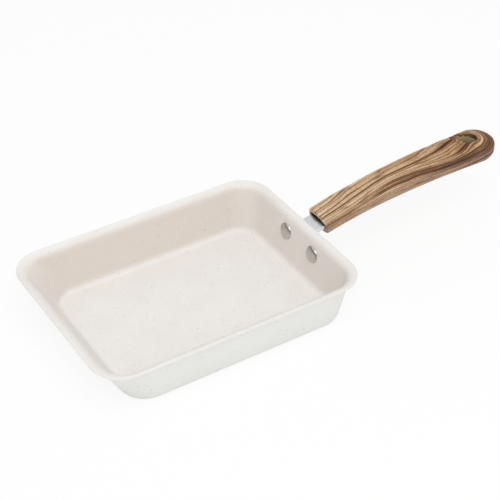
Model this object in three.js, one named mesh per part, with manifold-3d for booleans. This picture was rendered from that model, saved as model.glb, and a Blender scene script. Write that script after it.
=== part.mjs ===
// Rectangular omelette pan: a pressed pan, a riveted bracket and a hollow moulded handle.
// Millimetres, +Z up. The origin lies on the plane that the pan stands on, under the middle of the
// rim, and +X points along the handle.
import * as THREE from "three";
import { mergeVertices } from "three/addons/utils/BufferGeometryUtils.js";
import Module from "manifold-3d";

// Pan, pressed from one sheet
const RIM_LENGTH = 188.6; // along X, over the lip
const RIM_WIDTH = 139.8; // along Y, over the lip
const PAN_HEIGHT = 36.5; // standing plane to the top of the lip
const SHEET = 2; // thickness of floor, walls and lip
const WALL_LEAN = 8.6; // degrees off upright: the handle wall and the two long walls
const TURNING_WALL_LEAN = 29; // degrees off upright: the far wall, where the omelette is turned
const LIP_BEND = 6.4; // radius of the lip's upper face, where a steep wall curls outward
const TURNING_LIP_BEND = 9.2; // the same at the far wall
const LIP_CLIMB = 8; // degrees that the lip still climbs at its edge
const FOOT_BEND = 7.5; // radius under the pan, where the floor turns up into a wall
const RIM_CORNER = 21.5; // corner radius of the lip's edge, seen from above
const WALL_CORNER = 17.5; // corner radius of the walls at mid-sheet, seen from above

// Fit between pieces
const CLEARANCE = 0.3; // gap between pieces that seat on or pass through each other

// Rivets through the handle wall
const RIVET_SPACING = 30.8; // between the two centres
const RIVET_DROP = 7.7; // centres below the start of the lip's bend, along the wall
const RIVET_SHANK = 5; // diameter
const RIVET_HEAD = 11.8; // diameter of the low dome inside the pan
const RIVET_HEAD_HEIGHT = 1.8;
const RIVET_TAIL = 9; // diameter of the hammered end outside
const RIVET_TAIL_HEIGHT = 2.2;

// Bracket, bent from one strip of stainless sheet
const BRACKET_SHEET = 1.9;
const EAR_MARGIN = 7; // plate beyond the rivet centres, sideways and below
const EAR_SHOULDER = 3.2; // height of the curve from the plate's ears in to the tang
const PLATE_CORNER = 5;
const TANG_WIDTH = 16.4;
const TANG_CLIMB = 15; // degrees above level
const BARE_TANG = 8.8; // straight tang between the bend and the handle's mouth
const TANG_IN_HANDLE = 42;
const TANG_CORNER = 4;

// Handle, hollow at its mouth
const HANDLE_REACH = 146.6; // mouth to tip, measured along the tang's line
const TIP_DROOP = 24.5; // tip below the tang's line
const TIP_TURN = 14.5; // degrees that the tip has turned down from the tang's line
const MOUTH_RISE = -0.2; // middle of the mouth above the middle of the tang
const MOUTH_WIDTH = 21.6;
const GRIP_WIDTH = 24.6; // half-way along
const TIP_WIDTH = 27.4; // before the end is rounded off
const MOUTH_DEPTH = 14.4;
const GRIP_DEPTH = 16.1;
const TIP_DEPTH = 18.8;
const SECTION_POWER = 3; // 2 is an ellipse, higher is squarer
const TIP_FULLNESS = 0.5; // how late the depth rounds off at the tip: higher is later
const SOCKET_SIDE = 0.5; // room beside the tang
const SOCKET_ARCH = 2.2; // fall of the socket's ceiling from its middle to its sides
const SOCKET_END = 2; // room past the end of the tang
const HOLE_LENGTH = 12.6; // hanging hole, along the handle
const HOLE_WIDTH = 11;
const HOLE_FROM_TIP = 20.4; // middle of the hole to the tip

// Screw that holds the handle on the tang, from below
const SCREW_FROM_MOUTH = 24;
const SCREW_THREAD = 4; // diameter
const SCREW_HEAD = 7.4; // diameter
const SCREW_HEAD_HEIGHT = 2.4;
const SCREW_HEAD_BEVEL = 0.8;
const SCREW_CROSS = 4.2; // length of the driver's cross
const SCREW_CROSS_WIDTH = 0.9;
const SCREW_CROSS_DEPTH = 1.3;
const SEAT_WALL = 1.6; // handle between the socket's floor and the screw's seat
const WASHER_DIAMETER = 7;
const WASHER_THICKNESS = 0.9;
const WASHER_SPLIT = 0.8; // width of the cut in the spring washer
const NUT_WIDTH = 7; // square
const NUT_HEIGHT = 2.8;

// How finely the curves are stepped
const CORNER_STEPS = 8;
const LIP_STEPS = 6;
const FOOT_STEPS = 4;
const EDGE_STEPS = 4;
const BEND_STEPS = 8;
const OUTLINE_STEPS = 6;
const ROUND_STEPS = 24;
const HANDLE_STEPS = 20;
const TIP_STEPS = 9;
const SECTION_STEPS = 32;

const wasm = await Module();
wasm.setup();
const radians = THREE.MathUtils.degToRad;
const { lerp } = THREE.MathUtils;
const steps = (count) => Array.from({ length: count + 1 }, (_, i) => i / count);

// A closed surface through rings of points that run counter-clockwise about the way they follow on,
// with a fan of triangles over the first ring and over the last.
function loft(rings) {
  const size = rings[0].length;
  const points = rings.flat();
  const middle = (ring) =>
    ring.reduce((sum, p) => sum.add(p), new THREE.Vector3()).divideScalar(size);
  const first = points.push(middle(rings[0])) - 1;
  const last = points.push(middle(rings.at(-1))) - 1;
  const faces = [];
  for (let i = 0; i < size; i++) {
    const next = (i + 1) % size;
    for (let r = 0; r + 1 < rings.length; r++) {
      const here = r * size;
      const above = here + size;
      faces.push(here + i, here + next, above + next);
      faces.push(here + i, above + next, above + i);
    }
    const end = (rings.length - 1) * size;
    faces.push(first, next, i);
    faces.push(last, end + i, end + next);
  }
  const geometry = new THREE.BufferGeometry().setFromPoints(points);
  geometry.setIndex(faces);
  return geometry;
}

// The geometry as a solid that can be cut.
function solid(geometry) {
  const bare = geometry.clone();
  bare.deleteAttribute("normal");
  bare.deleteAttribute("uv");
  const merged = mergeVertices(bare, 1e-4);
  const vertProperties = new Float32Array(merged.attributes.position.array);
  const triVerts = new Uint32Array(merged.index.array);
  return new wasm.Manifold(new wasm.Mesh({ numProp: 3, vertProperties, triVerts }));
}

// The first geometry with all the others cut out of it.
function cut(geometry, ...tools) {
  const left = tools.reduce((body, tool) => body.subtract(solid(tool)), solid(geometry));
  const { vertProperties, triVerts } = left.getMesh();
  const result = new THREE.BufferGeometry();
  result.setAttribute("position", new THREE.BufferAttribute(vertProperties, 3));
  result.setIndex(new THREE.BufferAttribute(triVerts, 1));
  return result;
}

function piece(name, geometry, color, roughness, metalness) {
  geometry.computeVertexNormals();
  const material = new THREE.MeshStandardMaterial({ color, roughness, metalness });
  const mesh = new THREE.Mesh(geometry, material);
  mesh.name = name;
  return mesh;
}

// A round bar along Z between two heights.
function barZ(diameter, low, high) {
  const bar = new THREE.CylinderGeometry(diameter / 2, diameter / 2, high - low, ROUND_STEPS);
  return bar.rotateX(Math.PI / 2).translate(0, 0, (low + high) / 2);
}

// Section of the pressed sheet through one wall, from the floor's underside over the lip and back to
// the floor's top. Each point has its distance out from the lip's edge (negative inside), its height
// and the corner radius that the pan has there. The middle of the sheet is the foot's bend, the
// straight wall and the lip's bend; both faces lie half a sheet either side of it.
function wallSection(leanDegrees, lipBend) {
  const half = SHEET / 2;
  const lean = radians(leanDegrees);
  const upright = Math.PI / 2 - lean;
  const climb = radians(LIP_CLIMB);
  const lipRadius = lipBend - half;
  const footRadius = FOOT_BEND - half;
  const lipCentre = {
    out: -half + lipRadius * Math.sin(climb),
    z: PAN_HEIGHT - half - lipRadius * Math.cos(climb),
  };
  const onLip = (slope) => ({
    out: lipCentre.out - lipRadius * Math.sin(slope),
    z: lipCentre.z + lipRadius * Math.cos(slope),
    slope,
  });
  const wallTop = onLip(upright);
  const footTopZ = FOOT_BEND - footRadius * Math.cos(upright);
  const footTopOut = wallTop.out - (wallTop.z - footTopZ) * Math.tan(lean);
  const onFoot = (slope) => ({
    out: footTopOut + footRadius * (Math.sin(slope) - Math.sin(upright)),
    z: FOOT_BEND - footRadius * Math.cos(slope),
    slope,
  });
  const foot = steps(FOOT_STEPS).map((t) => onFoot(t * upright));
  const lip = steps(LIP_STEPS).map((t) => onLip(lerp(upright, climb, t)));
  for (const p of foot) p.corner = WALL_CORNER + p.out - footTopOut;
  for (const p of lip) {
    const share = (p.out - wallTop.out) / (lip.at(-1).out - wallTop.out);
    p.corner = lerp(WALL_CORNER, RIM_CORNER - half, share);
  }
  const middle = [...foot, ...lip];
  const shifted = (p, angle) => ({
    out: p.out + half * Math.cos(angle),
    z: p.z + half * Math.sin(angle),
    corner: p.corner + half * Math.cos(angle),
  });
  const face = (turn) => middle.map((p) => shifted(p, p.slope + turn));
  const edge = steps(EDGE_STEPS).slice(1, -1);
  const quarter = Math.PI / 2;
  return {
    loop: [
      ...face(-quarter),
      ...edge.map((t) => shifted(lip.at(-1), climb + lerp(-quarter, quarter, t))),
      ...face(quarter).reverse(),
    ],
    bendStart: shifted(wallTop, upright - quarter),
  };
}

const steepWall = wallSection(WALL_LEAN, LIP_BEND);
const turningWall = wallSection(TURNING_WALL_LEAN, TURNING_LIP_BEND);

// One level of the pan seen from above: a rounded rectangle whose far end takes the turning wall's
// distance out and height, and whose other sides take the steep walls'.
function panRing(steep, turning) {
  const right = RIM_LENGTH / 2 + steep.out - steep.corner;
  const left = -RIM_LENGTH / 2 - turning.out + steep.corner;
  const side = RIM_WIDTH / 2 + steep.out - steep.corner;
  const centres = [
    [right, side],
    [left, side],
    [left, -side],
    [right, -side],
  ];
  return centres.flatMap(([x, y], quarter) =>
    steps(CORNER_STEPS).map((t) => {
      const angle = (Math.PI / 2) * (quarter + t);
      const farShare = x < 0 ? Math.cos(angle) ** 2 : 0;
      return new THREE.Vector3(
        x + steep.corner * Math.cos(angle),
        y + steep.corner * Math.sin(angle),
        lerp(steep.z, turning.z, farShare),
      );
    }),
  );
}

// Frame of everything fixed to the handle wall: its origin is where the wall's outer face starts to
// curl into the lip, its X points squarely out of the wall and its Z points up along the wall.
const wallFrame = new THREE.Group();
wallFrame.position.set(RIM_LENGTH / 2 + steepWall.bendStart.out, 0, steepWall.bendStart.z);
wallFrame.rotation.y = radians(WALL_LEAN);
wallFrame.updateMatrix();

const rivetHole = RIVET_SHANK + 2 * CLEARANCE;
const rivetSides = { left: RIVET_SPACING / 2, right: -RIVET_SPACING / 2 };

// Bar through the wall at a rivet's place, in the wall's frame.
function rivetBar(y) {
  const reach = SHEET + BRACKET_SHEET + RIVET_SHANK;
  return barZ(rivetHole, -reach, reach)
    .rotateY(Math.PI / 2)
    .translate(0, y, -RIVET_DROP);
}

function panBody() {
  const rings = steepWall.loop.map((p, i) => panRing(p, turningWall.loop[i]));
  const holes = Object.values(rivetSides).map((y) => rivetBar(y).applyMatrix4(wallFrame.matrix));
  return cut(loft(rings), ...holes);
}

// A rivet turned about its own axis: the dome inside the pan, the shank, and the hammered end that
// holds the bracket.
function rivet(y) {
  const headSeat = -SHEET - CLEARANCE;
  const tailSeat = BRACKET_SHEET + 2 * CLEARANCE;
  const dome = (diameter, seat, height) =>
    steps(OUTLINE_STEPS).map((t) => {
      const angle = (t * Math.PI) / 2;
      return new THREE.Vector2((diameter / 2) * Math.sin(angle), seat + height * Math.cos(angle));
    });
  const profile = [
    ...dome(RIVET_HEAD, headSeat, -RIVET_HEAD_HEIGHT),
    new THREE.Vector2(RIVET_SHANK / 2, headSeat),
    new THREE.Vector2(RIVET_SHANK / 2, tailSeat),
    ...dome(RIVET_TAIL, tailSeat, RIVET_TAIL_HEIGHT).reverse(),
  ];
  const turned = new THREE.LatheGeometry(profile, ROUND_STEPS);
  return turned.rotateZ(-Math.PI / 2).translate(0, y, -RIVET_DROP);
}

// Middle of the bracket's sheet in the wall's frame: up the wall, round under the lip about the same
// centre as the lip's bend, then straight out as the tang.
const underLip = LIP_BEND - SHEET; // radius of the lip's underside
const bracketOffset = CLEARANCE + BRACKET_SHEET / 2;
const bendRadius = underLip - bracketOffset;
const bendTurn = radians(90 - WALL_LEAN - TANG_CLIMB);
const bendLength = bendRadius * bendTurn;
const tangLength = BARE_TANG + TANG_IN_HANDLE;

function bracketPath(s) {
  const turn = THREE.MathUtils.clamp(s / bendRadius, 0, bendTurn);
  const along = new THREE.Vector3(Math.sin(turn), 0, Math.cos(turn));
  const face = new THREE.Vector3(Math.cos(turn), 0, -Math.sin(turn));
  const straight = s < 0 ? s : Math.max(0, s - bendLength);
  const at = new THREE.Vector3(underLip, 0, 0)
    .addScaledVector(face, -bendRadius)
    .addScaledVector(along, straight);
  return { at, face };
}

// The strip's outline as half-widths along the path: a plate with rounded corners, curved ears that
// run in to the tang, and the tang with a rounded end.
function bracketOutline() {
  const plate = RIVET_SPACING / 2 + EAR_MARGIN;
  const tang = TANG_WIDTH / 2;
  const bottom = -RIVET_DROP - EAR_MARGIN;
  const end = bendLength + tangLength;
  const sine = (t) => Math.sin((t * Math.PI) / 2);
  const cosine = (t) => Math.cos((t * Math.PI) / 2);
  return [
    ...steps(OUTLINE_STEPS).map((t) => [
      bottom + PLATE_CORNER * (1 - cosine(t)),
      plate - PLATE_CORNER * (1 - sine(t)),
    ]),
    ...steps(OUTLINE_STEPS).map((t) => [
      -EAR_SHOULDER * (1 - sine(t)),
      lerp(tang, plate, cosine(t)),
    ]),
    ...steps(BEND_STEPS).slice(1).map((t) => [t * bendLength, tang]),
    ...steps(OUTLINE_STEPS).map((t) => [
      end - TANG_CORNER * (1 - sine(t)),
      tang - TANG_CORNER * (1 - cosine(t)),
    ]),
  ];
}

function bracket() {
  const rings = bracketOutline().map(([s, width]) => {
    const { at, face } = bracketPath(s);
    const corner = (x, y) =>
      at.clone().addScaledVector(face, x * (BRACKET_SHEET / 2)).setY(y * width);
    return [corner(1, -1), corner(1, 1), corner(-1, 1), corner(-1, -1)];
  });
  const screwHole = screwBar(-BRACKET_SHEET, BRACKET_SHEET).applyMatrix4(handleFrame.matrix);
  return cut(loft(rings), ...Object.values(rivetSides).map(rivetBar), screwHole);
}

// Frame of the handle, inside the wall's frame: its origin is the middle of the tang at the handle's
// mouth, its X runs along the tang and its Z stands squarely on it.
const handleFrame = new THREE.Group();
handleFrame.position.copy(bracketPath(bendLength + BARE_TANG).at);
handleFrame.rotation.y = -radians(WALL_LEAN + TANG_CLIMB);
handleFrame.updateMatrix();

// Clearance bar for the screw in the handle's frame.
const screwHoleDiameter = SCREW_THREAD + 2 * CLEARANCE;
function screwBar(low, high, diameter = screwHoleDiameter) {
  return barZ(diameter, low, high).translate(SCREW_FROM_MOUTH, 0, 0);
}

// Heights in the handle's frame, stacked outward from the tang's two faces
const tangTop = BRACKET_SHEET / 2;
const nutSeat = tangTop + CLEARANCE;
const nutTop = nutSeat + NUT_HEIGHT;
const socketWidth = TANG_WIDTH + 2 * SOCKET_SIDE;
const socketFloor = -tangTop - CLEARANCE;
const socketCrown = nutTop + CLEARANCE + SOCKET_ARCH * (NUT_WIDTH / socketWidth) ** 2;
const screwSeat = socketFloor - SEAT_WALL;
const washerTop = screwSeat - CLEARANCE;
const washerBottom = washerTop - WASHER_THICKNESS;
const headTop = washerBottom - CLEARANCE;
const headBottom = headTop - SCREW_HEAD_HEIGHT;

// The handle's middle line: it leaves along the tang and curves down to the tip.
const third = HANDLE_REACH / 3;
const spine = new THREE.CubicBezierCurve(
  new THREE.Vector2(0, MOUTH_RISE),
  new THREE.Vector2(third, MOUTH_RISE),
  new THREE.Vector2(2 * third, MOUTH_RISE - TIP_DROOP + third * Math.tan(radians(TIP_TURN))),
  new THREE.Vector2(HANDLE_REACH, MOUTH_RISE - TIP_DROOP),
);

// The smooth curve through a size at the mouth, half-way and at the tip.
const through = (mouth, grip, tip, t) =>
  mouth * (1 - t) * (1 - 2 * t) + 4 * grip * t * (1 - t) + tip * t * (2 * t - 1);

// One section of the handle, square to its middle line: a superellipse whose width rounds off as a
// circle over the last half tip width, with the depth rounding off by its fullness.
function handleSection(t) {
  const at = spine.getPoint(t);
  const along = spine.getTangent(t);
  const overTip = Math.max(0, 1 - ((1 - t) * HANDLE_REACH) / (TIP_WIDTH / 2));
  const taper = Math.sqrt(1 - overTip ** 2);
  const width = (through(MOUTH_WIDTH, GRIP_WIDTH, TIP_WIDTH, t) / 2) * taper;
  const depth =
    (through(MOUTH_DEPTH, GRIP_DEPTH, TIP_DEPTH, t) / 2) * Math.sqrt(1 - (1 - taper) ** TIP_FULLNESS);
  const squared = (v) => Math.sign(v) * Math.abs(v) ** (2 / SECTION_POWER);
  return Array.from({ length: SECTION_STEPS }, (_, i) => {
    const angle = (2 * Math.PI * i) / SECTION_STEPS;
    const up = depth * squared(Math.sin(angle));
    const across = width * squared(Math.cos(angle));
    return new THREE.Vector3(at.x - along.y * up, across, at.y + along.x * up);
  });
}

// The socket: the tang's slot with room for the nut under an arched ceiling.
function socket() {
  const half = socketWidth / 2;
  const side = socketCrown - SOCKET_ARCH;
  const outline = new THREE.Shape();
  outline.moveTo(-half, socketFloor);
  outline.lineTo(half, socketFloor);
  outline.lineTo(half, side);
  outline.quadraticCurveTo(0, side + 2 * SOCKET_ARCH, -half, side);
  outline.closePath();
  const depth = TANG_IN_HANDLE + SOCKET_END;
  const overrun = MOUTH_DEPTH; // past the mouth, so that the cut is open
  const slot = new THREE.ExtrudeGeometry(outline, {
    depth: depth + overrun,
    bevelEnabled: false,
    curveSegments: OUTLINE_STEPS,
  });
  return slot.rotateX(Math.PI / 2).rotateZ(Math.PI / 2).translate(-overrun, 0, 0);
}

// The hanging hole: an oval bar straight through the handle, square to its middle line.
function hangingHole() {
  const t = 1 - HOLE_FROM_TIP / HANDLE_REACH;
  const at = spine.getPoint(t);
  const along = spine.getTangent(t);
  const bar = barZ(1, -TIP_DEPTH, TIP_DEPTH).scale(HOLE_LENGTH, HOLE_WIDTH, 1);
  return bar.rotateY(-Math.atan2(along.y, along.x)).translate(at.x, 0, at.y);
}

function handleGrip() {
  const tipShare = TIP_WIDTH / 2 / HANDLE_REACH;
  const shaft = steps(HANDLE_STEPS).map((t) => t * (1 - tipShare));
  const roundOff = steps(TIP_STEPS).slice(1, -1).map((t) => Math.sin((t * Math.PI) / 2));
  const end = roundOff.map((t) => 1 - tipShare * (1 - t));
  const body = loft([...shaft, ...end].map(handleSection));
  const counterbore = screwBar(screwSeat - GRIP_DEPTH, screwSeat, SCREW_HEAD + 2 * CLEARANCE);
  return cut(body, socket(), hangingHole(), screwBar(screwSeat - CLEARANCE, 0), counterbore);
}

// A cross-headed screw: its head hangs below the washer and its thread reaches the nut's top.
function handleScrew() {
  const profile = [
    new THREE.Vector2(0, headBottom),
    new THREE.Vector2(SCREW_HEAD / 2 - SCREW_HEAD_BEVEL, headBottom),
    new THREE.Vector2(SCREW_HEAD / 2, headBottom + SCREW_HEAD_BEVEL),
    new THREE.Vector2(SCREW_HEAD / 2, headTop),
    new THREE.Vector2(SCREW_THREAD / 2, headTop),
    new THREE.Vector2(SCREW_THREAD / 2, nutTop),
    new THREE.Vector2(0, nutTop),
  ];
  const turned = new THREE.LatheGeometry(profile, ROUND_STEPS).rotateX(Math.PI / 2);
  const slot = (x, y) =>
    new THREE.BoxGeometry(x, y, 2 * SCREW_CROSS_DEPTH).translate(0, 0, headBottom);
  const cross = [slot(SCREW_CROSS, SCREW_CROSS_WIDTH), slot(SCREW_CROSS_WIDTH, SCREW_CROSS)];
  return cut(turned, ...cross).translate(SCREW_FROM_MOUTH, 0, 0);
}

// A split spring washer.
function springWasher() {
  const inner = screwHoleDiameter / 2;
  const split = Math.asin(WASHER_SPLIT / 2 / inner);
  const ring = new THREE.Shape();
  ring.absarc(0, 0, WASHER_DIAMETER / 2, split, 2 * Math.PI - split, false);
  ring.absarc(0, 0, inner, 2 * Math.PI - split, split, true);
  ring.closePath();
  const flat = new THREE.ExtrudeGeometry(ring, {
    depth: WASHER_THICKNESS,
    bevelEnabled: false,
    curveSegments: ROUND_STEPS,
  });
  return flat.translate(SCREW_FROM_MOUTH, 0, washerBottom);
}

// A square nut on the tang's upper face.
function tangNut() {
  const block = new THREE.BoxGeometry(NUT_WIDTH, NUT_WIDTH, NUT_HEIGHT);
  block.translate(SCREW_FROM_MOUTH, 0, nutSeat + NUT_HEIGHT / 2);
  return cut(block, screwBar(0, 2 * nutTop));
}

handleFrame.add(
  piece("handle_grip", handleGrip(), 0x967962, 0.5, 0),
  piece("handle_screw", handleScrew(), 0xb4b2ae, 0.35, 1),
  piece("spring_washer", springWasher(), 0xa8a6a2, 0.4, 1),
  piece("tang_nut", tangNut(), 0xa8a6a2, 0.4, 1),
);
wallFrame.add(piece("handle_bracket", bracket(), 0xcecdcf, 0.3, 1), handleFrame);
for (const [side, y] of Object.entries(rivetSides)) {
  wallFrame.add(piece(`rivet_${side}`, rivet(y), 0xb0aaa2, 0.3, 1));
}

const pan = new THREE.Group();
pan.name = "omelette_pan";
pan.add(piece("pan_body", panBody(), 0xe8e3dc, 0.45, 0), wallFrame);

export default pan;
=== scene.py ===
"""The looks of a rectangular omelette pan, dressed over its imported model, in metres with +Z up.

Lengths below are millimetres, as in the part's source, and become metres where a mesh is made. Named
angles are degrees.
"""

import bpy
import numpy as np
from mathutils import Matrix


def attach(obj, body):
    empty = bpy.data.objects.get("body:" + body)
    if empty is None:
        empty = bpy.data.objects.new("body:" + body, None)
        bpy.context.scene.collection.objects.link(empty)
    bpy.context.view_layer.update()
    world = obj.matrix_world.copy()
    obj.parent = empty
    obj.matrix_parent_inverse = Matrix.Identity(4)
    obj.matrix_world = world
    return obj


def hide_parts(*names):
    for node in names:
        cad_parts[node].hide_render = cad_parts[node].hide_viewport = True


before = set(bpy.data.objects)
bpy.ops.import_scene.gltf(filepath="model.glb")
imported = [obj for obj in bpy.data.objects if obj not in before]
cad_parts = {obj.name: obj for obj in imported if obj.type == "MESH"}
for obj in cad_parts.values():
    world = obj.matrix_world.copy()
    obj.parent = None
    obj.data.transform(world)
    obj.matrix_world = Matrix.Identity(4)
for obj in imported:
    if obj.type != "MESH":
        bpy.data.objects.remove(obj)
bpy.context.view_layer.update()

MM = 0.001

# Pan, pressed from one sheet
RIM_LENGTH = 188.6
RIM_WIDTH = 139.8
PAN_HEIGHT = 36.5
SHEET = 2
WALL_LEAN = 8.6  # off upright: the handle wall and the two long walls
TURNING_WALL_LEAN = 29  # off upright: the far wall, where the omelette is turned
LIP_BEND = 6.4  # radius of the lip's upper face
TURNING_LIP_BEND = 9.2  # the same at the far wall
LIP_CLIMB = 8  # that the lip still climbs at its edge
FOOT_BEND = 7.5  # radius under the pan, where the floor turns up into a wall
RIM_CORNER = 21.5  # of the lip's edge, seen from above
WALL_CORNER = 17.5  # of the walls at mid-sheet, seen from above

# Fit between pieces
CLEARANCE = 0.3

# Rivets through the handle wall
RIVET_SPACING = 30.8
RIVET_DROP = 7.7  # below the start of the lip's bend, along the wall
RIVET_SHANK = 5
RIVET_HEAD = 11.8
RIVET_HEAD_HEIGHT = 1.8
RIVET_TAIL = 9
RIVET_TAIL_HEIGHT = 2.2

# Bracket, bent from one strip of stainless sheet
BRACKET_SHEET = 1.9
BRACKET_EDGE = 0.4  # radius of the strip's own edges
EAR_MARGIN = 7
EAR_SHOULDER = 3.2
PLATE_CORNER = 5
TANG_WIDTH = 16.4
TANG_CLIMB = 15
BARE_TANG = 8.8
TANG_IN_HANDLE = 42
TANG_CORNER = 4

# Handle, hollow at its mouth
HANDLE_REACH = 146.6  # mouth to tip, along the tang's line
TIP_DROOP = 24.5
TIP_TURN = 14.5
MOUTH_RISE = -0.2
HANDLE_WIDTHS = (21.6, 24.6, 27.4)  # at the mouth, half-way along and before the tip is rounded off
HANDLE_DEPTHS = (14.4, 16.1, 18.8)
SECTION_POWER = 3  # 2 is an ellipse, higher is squarer
TIP_FULLNESS = 0.5  # higher rounds the depth off later
TIP_TRIM = 0.25  # the tip ends this far inside the reach
LEAST_HALF = 0.1  # half size that the print reckons with at the very tip
MOUTH_EDGE = 1.1  # radius round the mouth
SOCKET_SIDE = 0.5
SOCKET_ARCH = 2.2
SOCKET_END = 2
SOCKET_CROWN = 4.71  # middle of the ceiling above the middle of the tang
SOCKET_DROOP = 1.3  # fall of the ceiling from DROOP_START to the socket's end
DROOP_START = 26
HOLE_LENGTH = 12.6
HOLE_WIDTH = 11
HOLE_FROM_TIP = 20.4
HOLE_EDGE = 1.1  # radius round both ends of the hole
HOLE_FLARE = 72  # that this round edge turns through
SCREW_FROM_MOUTH = 24
SCREW_THREAD = 4
SCREW_HEAD = 7.4
SEAT_WALL = 1.6  # handle between the socket's floor and the screw's seat

# Print on the handle, pressed in
GROOVE_DEPTH = 0.45  # under the strong lines
MOUTH_GROOVE_DEPTH = 0.8  # the same at the mouth
LINE_DEPTH = 0.25  # under every line
MOUTH_NOTCH = 0.25  # that a groove cuts back into the mouth's edge
MOUTH_SAG = 0.45  # that a groove lowers the mouth's edge
PRINT_GIRTH = 76  # round the handle, after which the lines start again
GIRTH_FACTOR = 3.39  # a section's girth over the sum of its half width and half depth

# Mesh steps
CORNER_STEPS = 24
LIP_STEPS = 18
FOOT_STEPS = 12
EDGE_STEPS = 10
DOME_POINTS = 20
DOME_POLE = 0.02  # radians that a dome leaves open at its pole
TURNED_STEPS = 72
PLATE_CORNER_STEPS = 12
BEND_STEPS = 24
STRIP_EDGE_POINTS = 6
HANDLE_STEPS = 220
TIP_STEPS = 40
SECTION_STEPS = 320
GIRTH_POINTS = 4001
EDGE_RINGS = 6
SOCKET_SIDE_POINTS = 40
SOCKET_WIDTH_POINTS = 160
SOCKET_DEPTHS = (TANG_IN_HANDLE + SOCKET_END, 30, 20, 6, 2, 0.5, 0.0)
HOLE_STEPS = 96
HOLE_EDGE_POINTS = 9
HOLE_LEVELS = 16
SCREW_HOLE_STEPS = 48
CUT_OVERRUN = 3  # of a cutting shape past the surface

# Sharpest angle between faces that is still shaded smooth
RIVET_CREASE = 50
BRACKET_CREASE = 40
HANDLE_CREASE = 48

hole_place = HANDLE_REACH - HOLE_FROM_TIP
hole_share = 1 - HOLE_FROM_TIP / HANDLE_REACH
socket_floor = -BRACKET_SHEET / 2 - CLEARANCE
screw_seat = socket_floor - SEAT_WALL


def smooth(low, high, x):
    """0 at low, 1 at high, an S-curve between and level outside."""
    t = np.clip((x - low) / (high - low), 0, 1)
    return t * t * (3 - 2 * t)


def stages(base, steps, x):
    """The base plus S-curve steps, each given as its height, where it starts and where it is done."""
    return sum((height * smooth(start, done, x) for height, start, done in steps), base)


def between(start, full, last, gone, x):
    """0 up to start, 1 from full to last and 0 again from gone on, with S-curves between."""
    return smooth(start, full, x) * smooth(gone, last, x)


def linear(colour):
    """Linear RGBA of an sRGB colour given as six hex digits."""
    srgb = np.array([int(colour[i : i + 2], 16) for i in (0, 2, 4)]) / 255
    rgb = np.where(srgb <= 0.04045, srgb / 12.92, ((srgb + 0.055) / 1.055) ** 2.4)
    return (*rgb.tolist(), 1.0)


def add(tree, kind, inputs=None, stops=(), **settings):
    """A new node with its settings. An input takes a value, another node's socket or another node, for
    its first output in use. The stops of a colour ramp are pairs of a place and a colour."""
    node = tree.nodes.new("ShaderNode" + kind)
    for name, value in settings.items():
        setattr(node, name, value)
    for key, value in (inputs or {}).items():
        if isinstance(value, bpy.types.Node):
            value = next(socket for socket in value.outputs if socket.enabled)
        if isinstance(value, bpy.types.NodeSocket):
            tree.links.new(value, node.inputs[key])
        else:
            node.inputs[key].default_value = value
    for i, (place, colour) in enumerate(stops):
        elements = node.color_ramp.elements
        stop = elements[i] if i < 2 else elements.new(place)
        stop.position = place
        stop.color = linear(colour)
    return node


def material(name):
    """An empty material and its node tree."""
    made = bpy.data.materials.new(name)
    made.use_nodes = True
    made.node_tree.nodes.clear()
    return made, made.node_tree


def loft(name, rings):
    """A closed mesh over rings[i, j], point j of ring i: quads from ring to ring and a flat face over
    each end. The rings run counter-clockwise about the way they follow on."""
    rows, columns = rings.shape[:2]
    here = np.arange(rows * columns).reshape(rows, columns)
    beside = np.roll(here, -1, axis=1)
    quads = np.stack([here[:-1], beside[:-1], beside[1:], here[1:]], axis=-1).reshape(-1, 4)
    mesh = bpy.data.meshes.new(name)
    ends = [here[0, ::-1].tolist(), here[-1].tolist()]
    mesh.from_pydata((rings.reshape(-1, 3) * MM).tolist(), [], quads.tolist() + ends)
    mesh.shade_smooth()
    piece = bpy.data.objects.new(name, mesh)
    bpy.context.scene.collection.objects.link(piece)
    return piece


def keep(piece, name, kind, field, values):
    """Stores a value for each point of a piece, as an attribute that its material reads."""
    data = piece.data.attributes.new(name, kind, "POINT").data
    data.foreach_set(field, values.astype(np.float32).ravel())


def placed(points, origin, degrees):
    """Points turned about Y by the degrees and then moved to the origin."""
    x, y, z = np.moveaxis(points, -1, 0)
    c, s = np.cos(np.radians(degrees)), np.sin(np.radians(degrees))
    return np.stack([origin[0] + c * x + s * z, origin[1] + y, origin[2] - s * x + c * z], axis=-1)


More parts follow.
